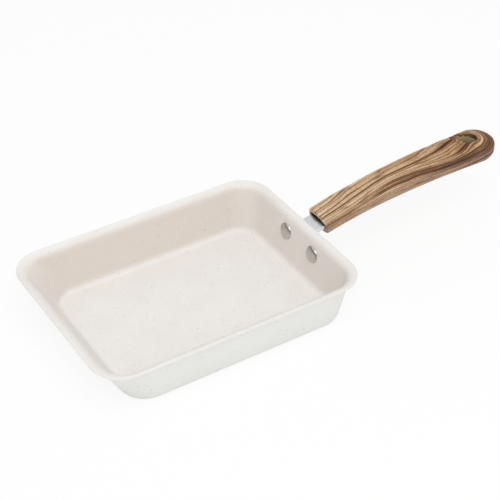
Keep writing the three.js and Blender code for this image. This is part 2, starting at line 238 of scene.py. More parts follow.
def sheet_section(lean_degrees, lip_bend):
    """Section of the pressed sheet through one wall, as arrays of distance out from the lip's edge,
    height and corner radius in plan. The sheet's middle is an arc at the foot, a straight wall and an
    arc at the lip. The outline runs half a sheet below it, round the lip's edge and back above it."""
    half = SHEET / 2
    lean, climb = np.radians(lean_degrees), np.radians(LIP_CLIMB)
    upright = np.pi / 2 - lean
    lip_radius, foot_radius = lip_bend - half, FOOT_BEND - half
    lip = np.linspace(upright, climb, LIP_STEPS + 1)
    lip_out = -half + lip_radius * (np.sin(climb) - np.sin(lip))
    lip_z = PAN_HEIGHT - half + lip_radius * (np.cos(lip) - np.cos(climb))
    foot = np.linspace(0, upright, FOOT_STEPS + 1)
    foot_z = FOOT_BEND - foot_radius * np.cos(foot)
    foot_top = lip_out[0] - (lip_z[0] - foot_z[-1]) * np.tan(lean)
    foot_out = foot_top + foot_radius * (np.sin(foot) - np.sin(upright))
    share = (lip_out - lip_out[0]) / (lip_out[-1] - lip_out[0])
    lip_corner = WALL_CORNER + share * (RIM_CORNER - half - WALL_CORNER)
    out = np.concatenate([foot_out, lip_out])
    z = np.concatenate([foot_z, lip_z])
    corner = np.concatenate([WALL_CORNER + foot_out - foot_top, lip_corner])
    slope = np.concatenate([foot, lip])
    edge = np.linspace(-np.pi / 2, np.pi / 2, EDGE_STEPS + 1)[1:-1]
    last = np.full(len(edge), len(out) - 1)
    order = np.concatenate([np.arange(len(out)), last, np.arange(len(out))[::-1]])
    angle = np.concatenate([slope - np.pi / 2, climb + edge, slope[::-1] + np.pi / 2])
    across, up = half * np.cos(angle), half * np.sin(angle)
    return out[order] + across, z[order] + up, corner[order] + across


def pan_rings():
    """The pan as levels seen from above: each level of the section is a rounded rectangle, whose far
    end takes the sloped wall's distance out and height, and the far corners blend the two heights by
    the squared cosine of the way round."""
    out, z, corner = (values[:, None] for values in sheet_section(WALL_LEAN, LIP_BEND))
    far_section = sheet_section(TURNING_WALL_LEAN, TURNING_LIP_BEND)
    far_out, far_z, _ = (values[:, None] for values in far_section)
    turn = np.linspace(0, 90, CORNER_STEPS + 1)
    angle = np.radians(np.concatenate([turn, turn + 90, turn + 180, turn + 270]))
    far = np.repeat([0, 1, 1, 0], len(turn))
    side = np.repeat([1, 1, -1, -1], len(turn))
    near_x = RIM_LENGTH / 2 + out - corner
    far_x = -RIM_LENGTH / 2 - far_out + corner
    x = np.where(far, far_x, near_x) + corner * np.cos(angle)
    y = side * (RIM_WIDTH / 2 + out - corner) + corner * np.sin(angle)
    height = z + (far_z - z) * far * np.cos(angle) ** 2
    return np.stack([x, y, height], axis=-1)


# Painted shade on the pan's inside, a warm darker tint that stands in for the dimmer light on its
# walls and front lip: its share on the walls and the lip, and where along X or Y each of them starts and is
# full
WALL_SHADE = 0.8
HANDLE_WALL_LESS = 0.22
BACK_WALL_MORE = 0.2
SLOPED_WALL_SHADE = 0.2
FRONT_LIP_SHADE = 0.3
HANDLE_WALL = (68, 84)
BACK_WALL = (44, 60)
BACK_WALL_LENGTH = (-80, -60, 68, 84)
STEEP_WALLS = (-75, -55)
STEEP_WALLS_AT_BACK = 12  # further along there
SLOPED_WALL = (-60, -75)
SLOPED_WALL_BACK = (-10, 40)
FRONT_LIP = (-52, -64)
BACK_LIP = (54, 63)

# Levels of the pan's mesh, counted in from the lip's edge, or on from the top of the foot's bend
INSIDE = (-4, 2)  # from the edge: where the inside's cream starts and is full
WHITE_BACK_LIP = 9  # that the outside's white reaches further in over the back lip
LIP_SHADE_LEVELS = (-1, 2, 3, 7)  # from the edge: where the lip's painted shade starts, is full, is last full and is gone
WALL_TOP = 9  # from the edge: where the walls' painted shade starts
WALL_FOOT = (-3, 1, 8.4)  # from the foot: where the walls' painted shade is full, is last full and is gone


def pan_body():
    """The pan. Each point keeps how far it is over the lip, from the outside in, and its share of the
    walls' painted shade, a warm darker tint that stands in for the dimmer light on the walls inside.
    The shade lies between the lip and the foot, all round but for the sloped wall, where it comes in
    only towards the back. It is weaker on the handle's wall and stronger on the back one, and the front
    lip has a little of it."""
    rings = pan_rings()
    piece = loft("coated_pan", rings)
    x, y = rings[..., 0], rings[..., 1]
    edge = (len(rings) - 1) / 2
    level = np.arange(len(rings))[:, None] - edge
    foot = edge - FOOT_STEPS
    inside = smooth(*INSIDE, level - WHITE_BACK_LIP * smooth(*BACK_LIP, y))

    # The tint below is painted shade, kept in the wall attribute for the walls and the front lip
    band = between(WALL_TOP, *(foot + on for on in WALL_FOOT), level)
    back = smooth(*BACK_WALL, y)
    tint = WALL_SHADE - HANDLE_WALL_LESS * smooth(*HANDLE_WALL, x)
    tint = tint * smooth(*STEEP_WALLS, x + STEEP_WALLS_AT_BACK * back)
    tint = tint + BACK_WALL_MORE * back * between(*BACK_WALL_LENGTH, x)
    tint = tint + SLOPED_WALL_SHADE * smooth(*SLOPED_WALL_BACK, y) * smooth(*SLOPED_WALL, x)
    lip = FRONT_LIP_SHADE * between(*LIP_SHADE_LEVELS, level) * smooth(*FRONT_LIP, y)
    keep(piece, "inside", "FLOAT", "value", inside)
    keep(piece, "wall", "FLOAT", "value", band * tint + lip)
    return piece


# Frame of what is fixed to the handle wall: where the wall's outer face starts to curl into the lip
steep_out, steep_z, _ = sheet_section(WALL_LEAN, LIP_BEND)
bend_start = FOOT_STEPS + 1
wall_origin = (RIM_LENGTH / 2 + steep_out[bend_start], 0, steep_z[bend_start])

# Middle of the bracket's sheet, and from it the frame of the handle
under_lip = LIP_BEND - SHEET
bend_radius = under_lip - CLEARANCE - BRACKET_SHEET / 2
bend_turn = np.radians(90 - WALL_LEAN - TANG_CLIMB)
bend_length = bend_radius * bend_turn


def bracket_path(s):
    """Middle of the bracket's sheet at lengths s, and the direction its outer face looks: up the wall,
    round an arc about the lip's own centre, then straight out as the tang."""
    turn = np.clip(s / bend_radius, 0, bend_turn)
    straight = np.where(s < 0, s, np.maximum(0, s - bend_length))
    face = np.stack([np.cos(turn), 0 * s, -np.sin(turn)], axis=-1)
    along = np.stack([np.sin(turn), 0 * s, np.cos(turn)], axis=-1)
    at = np.array([under_lip, 0, 0]) - bend_radius * face + straight[:, None] * along
    return at, face


mouth_at, _ = bracket_path(np.array([bend_length + BARE_TANG]))
handle_origin = placed(mouth_at, wall_origin, WALL_LEAN)[0]


def rivet(name, y):
    """A rivet turned about the wall's normal: a quarter ellipse for the dome inside the pan, the shank,
    and a quarter ellipse for the hammered end outside. Each pole is a tiny flat face."""
    quarter = np.linspace(DOME_POLE, np.pi / 2, DOME_POINTS)
    inner, outer = -SHEET, CLEARANCE + BRACKET_SHEET
    head = RIVET_HEAD_HEIGHT + CLEARANCE
    tail = RIVET_TAIL_HEIGHT + CLEARANCE
    radius = np.concatenate(
        [
            RIVET_HEAD / 2 * np.sin(quarter),
            [RIVET_SHANK / 2, RIVET_SHANK / 2],
            RIVET_TAIL / 2 * np.sin(quarter[::-1]),
        ]
    )[:, None]
    x = np.concatenate(
        [inner - head * np.cos(quarter), [inner, outer], outer + tail * np.cos(quarter[::-1])]
    )[:, None]
    angle = np.linspace(0, 2 * np.pi, TURNED_STEPS, endpoint=False)
    local = np.stack(
        np.broadcast_arrays(x, y + radius * np.cos(angle), radius * np.sin(angle) - RIVET_DROP), axis=-1
    )
    piece = loft(name, placed(local, wall_origin, WALL_LEAN))
    piece.data.set_sharp_from_angle(angle=np.radians(RIVET_CREASE))
    return piece


def bracket():
    """The bracket as a flat strip with rounded edges carried along its bent path. Half-widths follow
    quarter sines and cosines at the plate's corners, the ears and the tang's end."""
    quarter = np.linspace(0, np.pi / 2, PLATE_CORNER_STEPS + 1)
    sine, cosine = np.sin(quarter), np.cos(quarter)
    plate, tang = RIVET_SPACING / 2 + EAR_MARGIN, TANG_WIDTH / 2
    bottom = -RIVET_DROP - EAR_MARGIN
    end = bend_length + BARE_TANG + TANG_IN_HANDLE
    s = np.concatenate(
        [
            bottom + PLATE_CORNER * (1 - cosine),
            -EAR_SHOULDER * (1 - sine),
            np.linspace(0, bend_length, BEND_STEPS + 1)[1:],
            end - TANG_CORNER * (1 - sine),
        ]
    )
    half_width = np.concatenate(
        [
            plate - PLATE_CORNER * (1 - sine),
            tang + (plate - tang) * cosine,
            np.full(BEND_STEPS, tang),
            tang - TANG_CORNER * (1 - cosine),
        ]
    )
    at, face = bracket_path(s)
    quarter_turn = np.linspace(0, 90, STRIP_EDGE_POINTS)
    corner = np.radians(np.array([-90, 0, 90, 180])[:, None] + quarter_turn).ravel()
    out_sign = np.repeat([1, 1, -1, -1], STRIP_EDGE_POINTS)
    side_sign = np.repeat([-1, 1, 1, -1], STRIP_EDGE_POINTS)
    out = out_sign * (BRACKET_SHEET / 2 - BRACKET_EDGE) + BRACKET_EDGE * np.cos(corner)
    side = side_sign * (half_width[:, None] - BRACKET_EDGE) + BRACKET_EDGE * np.sin(corner)
    local = at[:, None] + out[:, None] * face[:, None]
    local[..., 1] = side
    piece = loft("steel_bracket", placed(local, wall_origin, WALL_LEAN))
    piece.data.set_sharp_from_angle(angle=np.radians(BRACKET_CREASE))
    return piece


def spine(t):
    """The handle's middle line, a cubic Bezier curve that leaves along the tang and droops to the tip,
    and its direction."""
    third = HANDLE_REACH / 3
    tip = MOUTH_RISE - TIP_DROOP
    points = np.array(
        [
            [0, MOUTH_RISE],
            [third, MOUTH_RISE],
            [2 * third, tip + third * np.tan(np.radians(TIP_TURN))],
            [HANDLE_REACH, tip],
        ]
    )
    t = np.asarray(t)[..., None]
    weights = np.concatenate([(1 - t) ** 3, 3 * t * (1 - t) ** 2, 3 * t**2 * (1 - t), t**3], axis=-1)
    slopes = np.concatenate([(1 - t) ** 2, 2 * t * (1 - t), t**2], axis=-1)
    along = slopes @ np.diff(points, axis=0)
    return weights @ points, along / np.linalg.norm(along, axis=-1, keepdims=True)


def half_sizes(t):
    """Half the handle's width and depth: a parabola through the mouth, middle and tip sizes, with the
    width rounded off as a circle over the tip and the depth following more slowly."""
    shape = np.stack([(1 - t) * (1 - 2 * t), 4 * t * (1 - t), t * (2 * t - 1)], axis=-1)
    to_tip = np.maximum(0, (1 - t) * HANDLE_REACH - TIP_TRIM)
    over_tip = np.maximum(0, 1 - to_tip / (HANDLE_WIDTHS[2] / 2))
    taper = np.sqrt(np.maximum(0, 1 - over_tip**2))
    width = shape @ np.array(HANDLE_WIDTHS) / 2 * taper
    depth = shape @ np.array(HANDLE_DEPTHS) / 2 * np.sqrt(1 - (1 - taper) ** TIP_FULLNESS)
    return width, depth


def squared(value):
    """A sine or cosine bent so that sine and cosine together draw a superellipse."""
    return np.sign(value) * np.abs(value) ** (2 / SECTION_POWER)


def walk_round():
    """Angles all round the section half-way along the handle, close together, and the share of its
    girth walked at each, from the side through the top."""
    angle = np.linspace(0, 2 * np.pi, GIRTH_POINTS)
    width, depth = half_sizes(np.array(0.5))
    points = np.stack([width * squared(np.cos(angle)), depth * squared(np.sin(angle))], axis=-1)
    walked = np.concatenate([[0], np.cumsum(np.linalg.norm(np.diff(points, axis=0), axis=-1))])
    return angle, walked / walked[-1]


def section(t, angle, inset):
    """Superellipses square to the handle's middle line, drawn in by the inset."""
    t = np.asarray(t)
    at, along = spine(t)
    width, depth = half_sizes(t)
    up = (depth - inset)[:, None] * squared(np.sin(angle))
    across = (width - inset)[:, None] * squared(np.cos(angle))
    x = at[:, :1] - along[:, 1:] * up
    z = at[:, 1:] + along[:, :1] * up
    return np.stack([x, across, z], axis=-1)


def socket_outline(bearings):
    """The socket's section, with a flat floor, upright sides and an arched ceiling, as its place across
    and its height at bearings from the middle of the mouth."""
    half = TANG_WIDTH / 2 + SOCKET_SIDE
    top = SOCKET_CROWN - SOCKET_ARCH
    over = np.linspace(half, -half, SOCKET_WIDTH_POINTS)
    upright = np.full(SOCKET_SIDE_POINTS, half)
    y = np.concatenate([upright, over, -upright, np.linspace(-half, half, SOCKET_WIDTH_POINTS)])
    z = np.concatenate(
        [
            np.linspace(socket_floor, top, SOCKET_SIDE_POINTS),
            top + SOCKET_ARCH * (1 - (over / half) ** 2),
            np.linspace(top, socket_floor, SOCKET_SIDE_POINTS),
            np.full(SOCKET_WIDTH_POINTS, socket_floor),
        ]
    )
    bearing = np.unwrap(np.arctan2(z - MOUTH_RISE, y))
    turns = np.concatenate([bearing - 2 * np.pi, bearing, bearing + 2 * np.pi])
    order = np.argsort(turns)
    return [np.interp(bearings, turns[order], np.tile(values, 3)[order]) for values in (y, z)]


def handle_rings():
    """The handle from the bottom of its socket out to the mouth, round the mouth's edge, and along
    superellipse sections to the tip, with points evenly round each. The socket's ceiling is cut off
    level, and lower towards its end."""
    shares = np.linspace(0, 1, SECTION_STEPS, endpoint=False)
    dense, walked = walk_round()
    angle = np.interp(shares, walked, dense)
    width, depth = half_sizes(np.array(0.0))
    mouth_y, mouth_z = width * squared(np.cos(angle)), depth * squared(np.sin(angle))
    socket_y, socket_z = socket_outline(np.unwrap(np.arctan2(mouth_z, mouth_y)))
    depths = np.array(SOCKET_DEPTHS)[:, None]
    ceiling = SOCKET_CROWN - SOCKET_DROOP * smooth(DROOP_START, TANG_IN_HANDLE + SOCKET_END, depths)
    inner = np.stack(np.broadcast_arrays(depths, socket_y, np.minimum(socket_z, ceiling)), axis=-1)

    turn = np.linspace(0, np.pi / 2, EDGE_RINGS + 1)[:-1]
    inset = MOUTH_EDGE * (1 - np.sin(turn))
    setback = MOUTH_EDGE * (1 - np.cos(turn))
    edge = section(setback / HANDLE_REACH, angle, inset)

    tip_share = HANDLE_WIDTHS[2] / 2 / HANDLE_REACH
    tip = 1 - TIP_TRIM / HANDLE_REACH
    shaft = np.linspace(MOUTH_EDGE / HANDLE_REACH, tip - tip_share, HANDLE_STEPS)
    end = tip - tip_share * (1 - np.sin(np.linspace(0, np.pi / 2, TIP_STEPS + 1)[1:-1]))
    outer = section(np.concatenate([shaft, end]), angle, 0)
    return np.concatenate([inner, edge, outer])


def half_step_round(steps):
    """Angles evenly all round, from half a step on, so that no corner of a cutting shape lies on the
    seam along the handle's middle."""
    return np.linspace(0, 2 * np.pi, steps, endpoint=False) + np.pi / steps


def hole_rings():
    """The hanging hole as an oval bar whose two ends flare out along arcs, so the hole's edges are
    round."""
    at, along = spine(np.array(hole_share))
    reach = half_sizes(np.array(hole_share))[1]
    last = np.radians(HOLE_FLARE)
    arc = np.linspace(0, last, HOLE_EDGE_POINTS)
    flare = HOLE_EDGE * (1 - np.cos(arc))
    flare = np.concatenate([flare, [HOLE_EDGE * (1 - np.cos(last)) + CUT_OVERRUN]])
    rise = reach + HOLE_EDGE * (np.sin(arc) - np.sin(last))
    rise = np.concatenate([rise, [reach + CUT_OVERRUN / np.tan(last)]])
    wall = np.linspace(-1, 1, HOLE_LEVELS)[1:-1] * rise[0]
    height = np.concatenate([-rise[::-1], wall, rise])[:, None]
    wider = np.concatenate([flare[::-1], 0 * wall, flare])[:, None]
    angle = half_step_round(HOLE_STEPS)
    down = (HOLE_LENGTH / 2 + wider) * np.cos(angle)
    across = (HOLE_WIDTH / 2 + wider) * np.sin(angle)
    x = at[0] + down * along[0] - height * along[1]
    z = at[1] + down * along[1] + height * along[0]
    return np.stack([x, across, z], axis=-1)


def screw_hole_rings():
    """The screw's hole and the counterbore under it, turned about the screw's axis."""
    hole, counterbore = SCREW_THREAD + 2 * CLEARANCE, SCREW_HEAD + 2 * CLEARANCE
    z = np.array([-HANDLE_DEPTHS[1], screw_seat, screw_seat, 0])[:, None]
    radius = np.array([counterbore, counterbore, hole, hole])[:, None] / 2
    angle = half_step_round(SCREW_HOLE_STEPS)
    x = SCREW_FROM_MOUTH + radius * np.cos(angle)
    return np.stack(np.broadcast_arrays(x, radius * np.sin(angle), z), axis=-1)


def cut(piece, *tools):
    """Cuts the tools out of the piece and leaves one plain mesh."""
    for tool in tools:
        modifier = piece.modifiers.new(tool.name, "BOOLEAN")
        modifier.object = tool
        modifier.operation = "DIFFERENCE"
        modifier.solver = "EXACT"
    whole = piece.evaluated_get(bpy.context.evaluated_depsgraph_get())
    mesh = bpy.data.meshes.new_from_object(whole)
    piece.modifiers.clear()
    piece.data = mesh
    for tool in tools:
        bpy.data.objects.remove(tool)


def waver(x, y, seed, count=7):
    """A smooth random field from -1 to 1 or so: plane waves of random direction and phase, about one
    to two units long."""
    draw = np.random.default_rng(seed)
    way = draw.uniform(0, 2 * np.pi, count)
    pace = draw.uniform(3, 8, count)
    phase = draw.uniform(0, 2 * np.pi, count)
    waves = np.cos(way) * pace, np.sin(way) * pace
    return np.sin(x[..., None] * waves[0] + y[..., None] * waves[1] + phase).sum(-1) / np.sqrt(count)


# Dark lines of the wood print: place round the mouth from the middle of its top, half width, strength
# there and by the hole. One with a negative strength at the mouth starts part-way along.
GRAIN_LINES = (
    (-33.5, 0.5, 0.6, 0.6),
    (-29.8, 0.4, 0.5, 0.5),
    (-26.2, 0.5, 0.7, 0.7),
    (-22.6, 0.4, 0.5, 0.5),
    (-19.1, 0.5, 0.7, 0.7),
    (-15.4, 0.4, 0.6, 0.6),
    (-12.0, 0.5, 0.8, 0.8),
    (-8.4, 0.5, 0.5, 0.6),
    (-5.4, 0.45, 0.4, 0.5),
    (-2.6, 0.65, 1.0, 0.6),
    (-1.3, 0.3, 0.25, 0.3),
    (0.4, 0.35, 0.5, 0.55),
    (1.6, 0.3, 0.35, 0.45),
    (3.0, 0.62, 0.85, 0.85),
    (4.3, 0.3, 0.3, 0.5),
    (6.0, 0.75, 1.0, 1.0),
    (7.1, 0.32, 0.45, 0.75),
    (7.7, 0.3, 0.2, 0.7),
    (8.3, 0.3, 0.35, 0.7),
    (9.3, 0.45, 0.65, 0.8),
    (10.1, 0.4, 0.35, 0.9),
    (10.6, 0.32, -6.0, 0.75),
    (11.1, 0.35, 0.5, 0.85),
    (12.0, 0.4, 0.6, 0.8),
    (12.8, 0.4, 0.55, 0.7),
    (13.7, 0.8, 1.0, 1.0),
    (14.7, 0.38, 0.7, 0.45),
    (15.6, 0.4, 0.7, 0.4),
    (16.6, 0.4, 0.45, 0.5),
    (18.0, 0.38, 0.4, 0.5),
    (19.2, 0.35, 0.3, 0.35),
    (20.2, 0.35, 0.35, 0.4),
    (23.6, 0.4, 0.45, 0.45),
    (26.9, 0.4, 0.6, 0.6),
    (30.3, 0.45, 0.5, 0.5),
    (34.2, 0.45, 0.6, 0.6),
)

# Changes of the print along the handle: how much, from where and to where
CLIMB_STEPS = ((3.4, 12, 65), (2.7, 85, 124), (0.6, 0, 30))  # of the lines on top, round to the far side
SWAY_STEPS = ((-2.5, 72, 108), (0.7, 112, 130))  # of the lines on the near side
SPREAD_STEPS = ((0.53, 8, 30), (0.26, 75, 95))  # of the lines at the far shoulder
STRONGER_STEPS = ((0.3, 112, 130),)  # of every line's strength
FINER_STEPS = ((-0.25, 100, 125),)  # of every line's width
WOOD_STEPS = ((-0.12, 25, 90), (-0.25, 92, 120))  # of the wood's lightness
LINE_SHADE_STEPS = ((0.09, 100, 122),)  # of the shade beside the lines
PRESS_STEPS = ((-0.7, 128, 142),)  # of the pressed relief

# Stretches round the handle: where each starts and is full, and where some are last full and gone
TOP_LINES = (-37, -20, 1.4, 17)
NEAR_LINES = (-6, 12, 20, 36)
FAR_LINES = (-37, -18)
EARLY_ARCS = (-8, -25)
ARCS = (PRINT_GIRTH / 2, 24)
NEAR_SIDE = (13, 18)
FAR_SIDE = (2, -7)
BOTH_SIDES = (12, 17)
UNDERNEATH = (0.28, 0.45)  # as a share of the girth

# Past the hanging hole, along the handle: where it starts and is full
PAST_HOLE = (hole_place + 1, hole_place + 7)

# The lines' course: how the climb wavers, along and round, a belly of the near lines, its place and half
# length, how softly the spread starts at the top, the blunt middle of the arcs past the hole, and how
# long before the hole the lines turn into arcs, on top and further on the far side
CLIMB_WAVER = 0.2
CLIMB_WAVER_LENGTH = 60
CLIMB_WAVER_WIDTH = 30
BELLY = 1.2
BELLY_PLACE = 50
BELLY_LENGTH = 16
SPREAD_START = 5
ARC_MIDDLE = 3
TURN_ON_TOP = 11
TURN_FURTHER = 55

# The lines: how far they wander, how much they fade, over which lengths, where they go from their
# strength at the mouth to that by the hole, how crowded they are when they are gone and when they are
# whole, the flow's slopes that their width follows, how many times as wide as a line its groove and the
# shade beside it are, and past the hole how calm they are, how close to it, and how much they gain
WANDER = 0.12
WANDER_LENGTH = 40
FADE = 0.2
FADE_LENGTH = 50
STRENGTH_CHANGE = (20, 105)
CROWDED = (4.5, 1.8)
SLOPES = (0.35, 1.2)
GROOVE_WIDTHS = 2.2
SHADE_WIDTHS = 2.6
CALM = 0.6
CALM_RIM = (11, 8.5)
PAST_STRONGER = 0.2
PAST_STRONGER_SIDE = (-4, 8)
PAST_WIDER = 0.1

# Dark patches on the far shoulder: place along the handle, line, length and strength
DARK_PATCHES = ((26, -1.2, 6, 1.0), (57, 0.6, 5, 0.2), (106, 6.0, 12, 0.5))

# The near shoulder, which is darker: its line and half width, and where it runs along the handle
SHOULDER_LINE = 13.0
SHOULDER_WIDTH = 1.7
SHOULDER_LENGTH = (20, 85, 110, 135)

# Clouds in the wood: strength, length along the handle, width across the flow and seed
CLOUDS = ((0.08, 150, 4, 7), (0.1, 70, 1.3, 8))

# Lightness of the wood at the mouth, and what each thing takes from it or, as a painted gleam past the
# hole, gives it
WOOD_LIGHT = 0.95
SHOULDER_SHADE = 0.25
PATCH_SHADE = 0.5
TIP_SHADE = 0.02
NEAR_SIDE_SHADE = 0.12
NEAR_SHADE_ENDS = (105, 80)
FAR_SIDE_SHADE = 0.05
LINE_SHADE = 0.16
PAST_GLEAM = 0.12
PAST_GLEAM_SIDE = (4, -6)
TIP = (120, 143)

# Rosiness of the wood
SIDE_ROSE = 0.6
PATCH_ROSE = 0.7
TIP_ROSE = 0.4
SHOULDER_ROSE = 0.3

# Edge of the print in the hanging hole: the depth over which it fades, the depth at which bare resin
# starts, which swings from the mouth's side to the tip's, the stretch over which the resin comes in, and
# the shade in the hole's edge and further down on the resin
PRINT_FADE = (0.2, 1.6)
BARE_DEPTH = 1.5
BARE_SWING = 1.8
BARE_LEAST = 0.4
BARE_EDGE = 0.7
EDGE_SHADE = 0.9
EDGE_SHADE_DEPTH = (0.1, 1.0)
RESIN_SHADE = 0.4
RESIN_SHADE_DEPTH = (2, 9)

# Edge of the print at the mouth: how far in its relief ends and the bare resin starts, how far along
# grooves are deeper and the edge is notched, and the middle of the handle, where the hole's rules take over
SOCKET_RELIEF = (1.5, 3)
SOCKET_BARE = (0.2, 0.8)
DEEPER_GROOVES = (40, 0)
NOTCHED_EDGE = (2.5, 0.4)
SOCKET_TO_HOLE = (60, 80)

# Inside of the handle's surface, which is at 1, by the level of the superellipse
UNDER_SURFACE = (0.99, 0.9)
IN_SOCKET_RELIEF = (0.97, 0.9)
IN_SOCKET = (0.9, 0.7)

# Seeds of the lines' random fields. Each line adds its number to the last two.
CLIMB_SEED = 4
WANDER_SEED = 20
FADE_SEED = 60


def grain_flow(along, around):
    """The grain's own cross coordinate: the place round the mouth that the line through a point starts
    from. Along the handle the lines on top climb to the far shoulder and spread there, the near ones
    sway, and past the hanging hole all of them run round it as arcs. The lines on top turn into the
    arcs just before the hole, and those on the far side earlier. Underneath they run straight on, so
    both sides meet there."""
    ring = np.sqrt(np.maximum(0, along - hole_place) ** 2 + around**2 + ARC_MIDDLE**2)
    u = np.minimum(along, hole_place)
    wave = waver(u / CLIMB_WAVER_LENGTH, around / CLIMB_WAVER_WIDTH, CLIMB_SEED)
    climb = stages(0, CLIMB_STEPS, u) + CLIMB_WAVER * wave
    sway = stages(BELLY * np.exp(-(((u - BELLY_PLACE) / BELLY_LENGTH) ** 2)), SWAY_STEPS, u)
    spread = stages(0, SPREAD_STEPS, u)

    def start(v):
        far = (np.hypot(v, SPREAD_START) - v) / 2 * smooth(*FAR_LINES, v)
        return v + climb * between(*TOP_LINES, v) + sway * between(*NEAR_LINES, v) + spread * far

    turning = TURN_ON_TOP + TURN_FURTHER * smooth(*EARLY_ARCS, around)
    turned = smooth(hole_place - turning, hole_place, along) * smooth(*ARCS, np.abs(around))
    return start(around) * (1 - turned) + start(ring) * turned


def grain_crowding(along, around):
    """How fast the flow changes over the surface, by central differences: about 1 at the mouth, more
    where lines crowd and less where they spread."""
    step = 0.05
    across = grain_flow(along, around + step) - grain_flow(along, around - step)
    down = grain_flow(along + step, around) - grain_flow(along - step, around)
    return np.hypot(across, down) / (2 * step)


def grain_lines(along, around, flow, crowding, apart, past):
    """The dark lines, the grooves under the strong ones and the shade beside them, each 0 to 1. Every
    line is a bell curve across the flow, as wide where the flow spreads as at the mouth. It wavers and
    fades along the handle, is gone where lines crowd, and is calm on the hole's rim towards the tip."""
    slope = np.clip(crowding, *SLOPES)
    calm = 1 - CALM * past * smooth(*CALM_RIM, np.hypot(along - hole_place, around))
    stronger = stages(1, STRONGER_STEPS, along)
    stronger = stronger + PAST_STRONGER * past * smooth(*PAST_STRONGER_SIDE, around)
    finer = stages(1, FINER_STEPS, along) + PAST_WIDER * past
    plain, level, clear = np.ones_like(flow), np.ones_like(flow), np.ones_like(flow)
    for number, (place, width, at_mouth, by_hole) in enumerate(GRAIN_LINES):
        strength = at_mouth + (by_hole - at_mouth) * smooth(*STRENGTH_CHANGE, along)
        strength = np.clip(strength * stronger, 0, 1) * apart * calm
        wander = WANDER * waver(along / WANDER_LENGTH, 0 * along, WANDER_SEED + number, count=4)
        offset = (flow - place - wander + PRINT_GIRTH / 2) % PRINT_GIRTH - PRINT_GIRTH / 2
        fade = 1 + FADE * waver(along / FADE_LENGTH, 0 * along, FADE_SEED + number, count=4)
        fade = np.clip(fade, 1 - FADE, 1)
        widths = offset / slope / (width * finer)
        plain = plain * (1 - strength * fade * np.exp(-(widths**2)))
        level = level * (1 - strength**3 * np.exp(-((widths / GROOVE_WIDTHS) ** 2)))
        clear = clear * (1 - strength * np.exp(-((widths / SHADE_WIDTHS) ** 2)))
    return 1 - plain, 1 - level, 1 - clear


def wood_tone(along, around, flow, apart, past, beside):
    """Lightness of the wood between the lines and its rosiness, each 0 to 1. The wood darkens along the
    handle and is clouded along the flow. It is darker beside the lines, along the near shoulder, in
    the patches and on both sides, and has a painted gleam on the far side past the hole. It is rosy on
    the sides, the shoulder, in the patches and at the tip."""
    light = stages(WOOD_LIGHT, WOOD_STEPS, along)
    cloud = sum(much * waver(along / long, flow / wide, seed) for much, long, wide, seed in CLOUDS)
    light = light + cloud * apart
    shoulder = np.exp(-(((flow - SHOULDER_LINE) / SHOULDER_WIDTH) ** 2))
    shoulder = shoulder * between(*SHOULDER_LENGTH, along)
    patches = 0 * flow
    for place, line, length, strength in DARK_PATCHES:
        patches = patches + strength * np.exp(-(((along - place) / length) ** 2) - ((flow - line) ** 2))
    tip = smooth(*TIP, along)
    light = light - SHOULDER_SHADE * shoulder - PATCH_SHADE * patches - TIP_SHADE * tip
    # Painted gleam on the far side past the hole
    light = light + PAST_GLEAM * past * smooth(*PAST_GLEAM_SIDE, around)
    light = light - NEAR_SIDE_SHADE * smooth(*NEAR_SIDE, around) * smooth(*NEAR_SHADE_ENDS, along)
    light = light - FAR_SIDE_SHADE * smooth(*FAR_SIDE, around)
    light = light - stages(LINE_SHADE, LINE_SHADE_STEPS, along) * beside
    rosy = SIDE_ROSE * smooth(*BOTH_SIDES, np.abs(around)) + PATCH_ROSE * patches
    rosy = rosy + TIP_ROSE * tip + SHOULDER_ROSE * shoulder
    return np.clip(light, 0, 1), np.clip(rosy, 0, 1)


def vectors(items, name):
    """The vectors of a mesh's points or normals, one in each row."""
    values = np.empty(len(items) * 3)
    items.foreach_get(name, values)
    return values.reshape(-1, 3)


def beside_spine(points):
    """For points of the handle, how far along its middle line each lies, from 0 to 1, and how high over
    it. The place is found in six steps, each by what is left along the line's direction."""
    t = np.clip(points[:, 0] / HANDLE_REACH, 0, 1)
    for _ in range(6):
        at, along = spine(t)
        gap = ((points[:, [0, 2]] - at) * along).sum(-1)
        t = np.clip(t + gap / HANDLE_REACH, 0, 1)
    at, along = spine(t)
    off = points[:, [0, 2]] - at
    return t, off[:, 1] * along[:, 0] - off[:, 0] * along[:, 1]


def round_section(y, up, width, depth):
    """For points beside the middle line, the superellipse they lie on, 1 at the surface, and how far
    round it from the middle of the top, with the near side positive. Underneath, both sides stretch to
    half the print's girth, where they meet."""
    side, rise = np.abs(y) / width, np.abs(up) / depth
    level = side**SECTION_POWER + rise**SECTION_POWER
    angle = np.arctan2(
        np.sign(up) * rise ** (SECTION_POWER / 2), np.sign(y) * side ** (SECTION_POWER / 2)
    )
    share = np.mod(np.interp(np.mod(angle, 2 * np.pi), *walk_round()) + 0.25, 1) - 0.5
    girth = GIRTH_FACTOR * (width + depth)
    return level, share * (girth + (PRINT_GIRTH - girth) * smooth(*UNDERNEATH, np.abs(share)))


